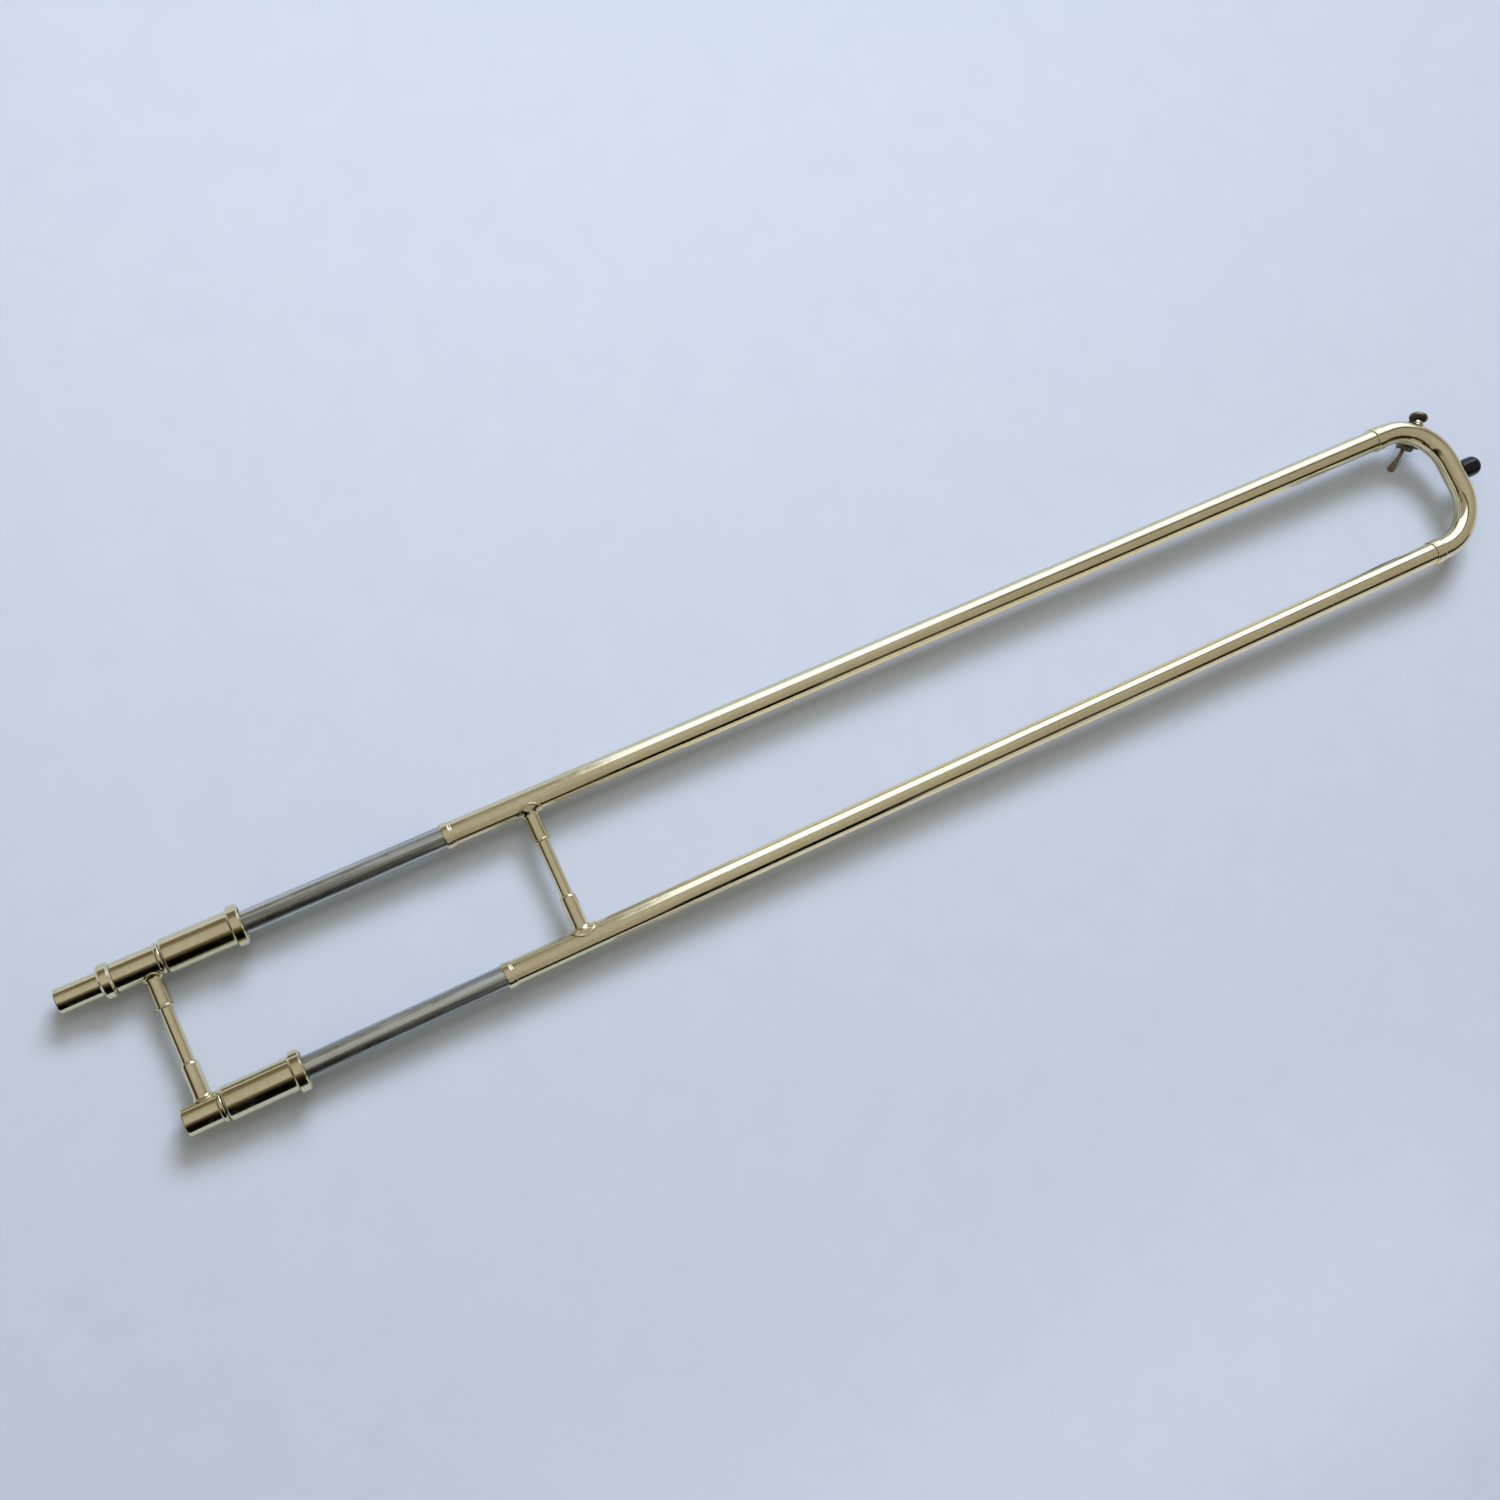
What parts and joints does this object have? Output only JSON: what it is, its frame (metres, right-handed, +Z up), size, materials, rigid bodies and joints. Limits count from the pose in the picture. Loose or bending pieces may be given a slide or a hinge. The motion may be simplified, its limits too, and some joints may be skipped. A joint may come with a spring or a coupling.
{
  "type": "trombone hand slide",
  "caption": "Trombone hand slide: outer slide with crook, brace, water key and bumper running on chromed inner tubes that end in cork barrels, a brace and a mouthpiece receiver.",
  "frame": {"origin": "below the middle of the box round the whole object, on the level of its lowest point, the tip of the water key's touch", "axes": "+X along the tubes towards the crook, +Y towards the mouthpiece side, +Z up, square to the plane of the two tubes"},
  "size_m": [0.9022, 0.1036, 0.0292],
  "materials": {
    "lacquered_brass": "clear-lacquered, polished",
    "chrome_plate": "hard chrome, fine drawn lines",
    "nickel_plate": "nickel-plated, tarnished",
    "spring_steel": "bright wire",
    "black_rubber": "moulded, slightly glossy",
    "barrel_cork": "natural cork",
    "key_cork": "dark, oiled cork"
  },
  "bodies": {
    "inner_slide": {"mouthpiece_receiver": "lacquered_brass", "receiver_collar": "lacquered_brass", "leadpipe": "lacquered_brass", "upper_neck_sleeve": "lacquered_brass", "lower_neck_sleeve": "lacquered_brass", "upper_cork_barrel": "lacquered_brass", "lower_cork_barrel": "lacquered_brass", "upper_barrel_ring": "lacquered_brass", "lower_barrel_ring": "lacquered_brass", "upper_barrel_cork": "barrel_cork", "lower_barrel_cork": "barrel_cork", "upper_inner_tube": "chrome_plate", "lower_inner_tube": "chrome_plate", "upper_stocking": "chrome_plate", "lower_stocking": "chrome_plate", "hand_brace_upper_socket": "lacquered_brass", "hand_brace_rod": "lacquered_brass", "hand_brace_lower_socket": "lacquered_brass"},
    "outer_slide": {"upper_outer_tube": "lacquered_brass", "lower_outer_tube": "lacquered_brass", "upper_outer_end_ring": "lacquered_brass", "lower_outer_end_ring": "lacquered_brass", "slide_brace_upper_socket": "lacquered_brass", "slide_brace_rod": "lacquered_brass", "slide_brace_lower_socket": "lacquered_brass", "upper_crook_ferrule": "lacquered_brass", "lower_crook_ferrule": "lacquered_brass", "crook": "lacquered_brass", "bumper_socket": "lacquered_brass", "water_key_nipple": "lacquered_brass", "water_key_saddle": "nickel_plate", "water_key_spring": "spring_steel", "water_key_pivot_screw": "spring_steel", "bumper_tip": "black_rubber"},
    "water_key": {"water_key_lever": "nickel_plate", "water_key_cork": "key_cork"}
  },
  "joints": [
    {"name": "slide_travel", "type": "slide", "parent": "inner_slide", "child": "outer_slide", "axis": [1, 0, 0], "range_m": [-0.137, 0.455]},
    {"name": "water_key_hinge", "type": "hinge", "parent": "outer_slide", "child": "water_key", "pos_m": [0.41652, 0.03004, 0.00742], "axis": [-0.7771, 0.6293, 0], "range_deg": [0, 22], "stiffness_Nm_per_rad": 0.05, "springref_deg": -51.57, "deforming": ["water_key_spring"]}
  ]
}
